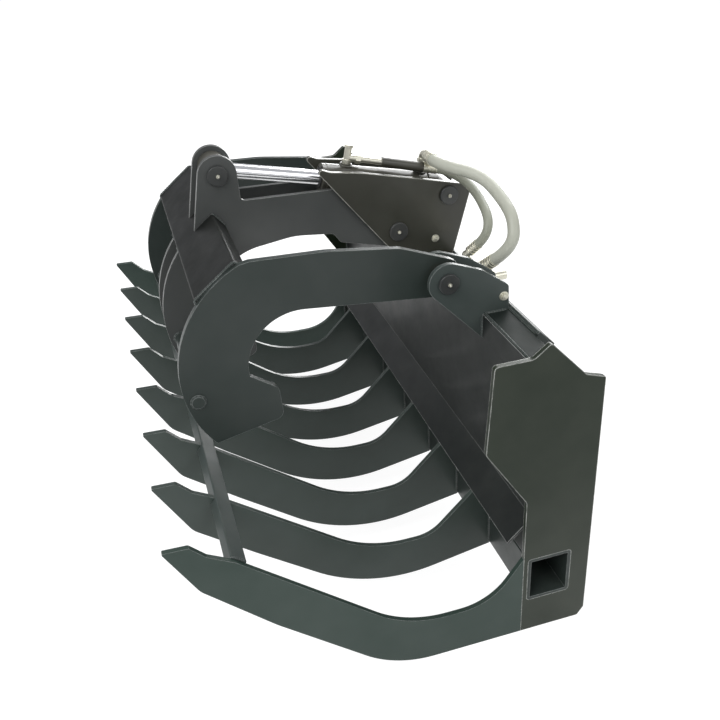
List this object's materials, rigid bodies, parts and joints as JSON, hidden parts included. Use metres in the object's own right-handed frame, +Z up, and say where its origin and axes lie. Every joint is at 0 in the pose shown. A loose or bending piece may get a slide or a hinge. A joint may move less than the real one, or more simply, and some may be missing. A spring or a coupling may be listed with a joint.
{
  "type": "grapple rake",
  "caption": "Root grapple rake for a skid-steer loader: curved tines, a hooked jaw that a hydraulic cylinder opens, and a quick-coupler back with slotted ledge.",
  "frame": {"origin": "on the ground, in the middle of the width and of the length", "axes": "+X across the width, -Y towards the tine tips, +Y towards the loader, +Z up"},
  "size_m": [1.524, 0.96, 1.063],
  "materials": {
    "frame_paint": "semi-gloss",
    "cylinder_paint": "gloss",
    "pin_steel": "plated",
    "plated_fittings": "zinc plated",
    "machined_steel": "turned",
    "rod_chrome": "polished",
    "bush_bronze": "turned",
    "seal_rubber": "matte",
    "hose_cover": "satin"
  },
  "bodies": {
    "frame": {"tine_1": "frame_paint", "tine_2": "frame_paint", "tine_3": "frame_paint", "tine_4": "frame_paint", "tine_5": "frame_paint", "tine_6": "frame_paint", "tine_7": "frame_paint", "tine_8": "frame_paint", "tip_crossbar": "frame_paint", "end_plate_right": "frame_paint", "coupler_cheek_right": "frame_paint", "mast_plate_right": "frame_paint", "hinge_ears_right": "frame_paint", "end_plate_left": "frame_paint", "coupler_cheek_left": "frame_paint", "mast_plate_left": "frame_paint", "hinge_ears_left": "frame_paint", "back_sheet": "frame_paint", "bottom_tube": "frame_paint", "top_tube": "frame_paint", "back_ribs": "frame_paint", "coupler_plate": "frame_paint", "hinge_pin_right": "pin_steel", "hinge_pin_left": "pin_steel", "hinge_pin_middle": "pin_steel", "cylinder_foot_pin": "pin_steel", "pin_collars": "pin_steel", "pin_bolts": "plated_fittings", "hose_block": "frame_paint", "hose_adapters": "plated_fittings", "hose_ferrules_lower": "plated_fittings", "quick_couplers": "plated_fittings"},
    "jaw": {"jaw_shoulder_tube": "frame_paint", "jaw_arm_right": "frame_paint", "jaw_arm_left": "frame_paint", "jaw_arm_middle_right": "frame_paint", "jaw_arm_middle_left": "frame_paint", "jaw_bush_right": "bush_bronze", "jaw_bush_left": "bush_bronze", "jaw_bush_middle": "bush_bronze", "jaw_toe_bar": "frame_paint", "grease_nipples": "plated_fittings", "rod_pin": "pin_steel", "rod_pin_collar": "pin_steel", "rod_pin_bolt": "plated_fittings"},
    "barrel": {"cylinder_tube": "cylinder_paint", "cylinder_base": "cylinder_paint", "cylinder_gland": "cylinder_paint", "cylinder_wiper": "seal_rubber", "cylinder_ports": "cylinder_paint", "port_elbows": "plated_fittings", "port_line": "plated_fittings", "port_line_guard": "cylinder_paint", "hose_ferrules_upper": "plated_fittings", "hose_inner": "hose_cover", "hose_outer": "hose_cover"},
    "rod": {"cylinder_rod": "rod_chrome", "rod_eye": "cylinder_paint", "cylinder_piston": "machined_steel", "piston_seal": "seal_rubber"}
  },
  "joints": [
    {"name": "jaw_hinge", "type": "hinge", "parent": "frame", "child": "jaw", "pos_m": [0, 0.264, 0.8], "axis": [-1, 0, 0], "range_deg": [-8, 52]},
    {"name": "barrel_tilt", "type": "hinge", "parent": "frame", "child": "barrel", "pos_m": [0, 0.407, 0.878], "axis": [-1, 0, 0], "range_deg": [-6.9, 44.8], "deforming": ["hose_inner", "hose_outer"]},
    {"name": "rod_slide", "type": "slide", "parent": "barrel", "child": "rod", "axis": [0, -0.9744, 0.2247], "range_m": [-0.1237, 0.0191]}
  ],
  "couplings": [
    {"joint": "barrel_tilt", "follows": "jaw_hinge", "ratio": 0.86},
    {"joint": "rod_slide", "follows": "jaw_hinge", "m_per_rad": -0.136}
  ]
}
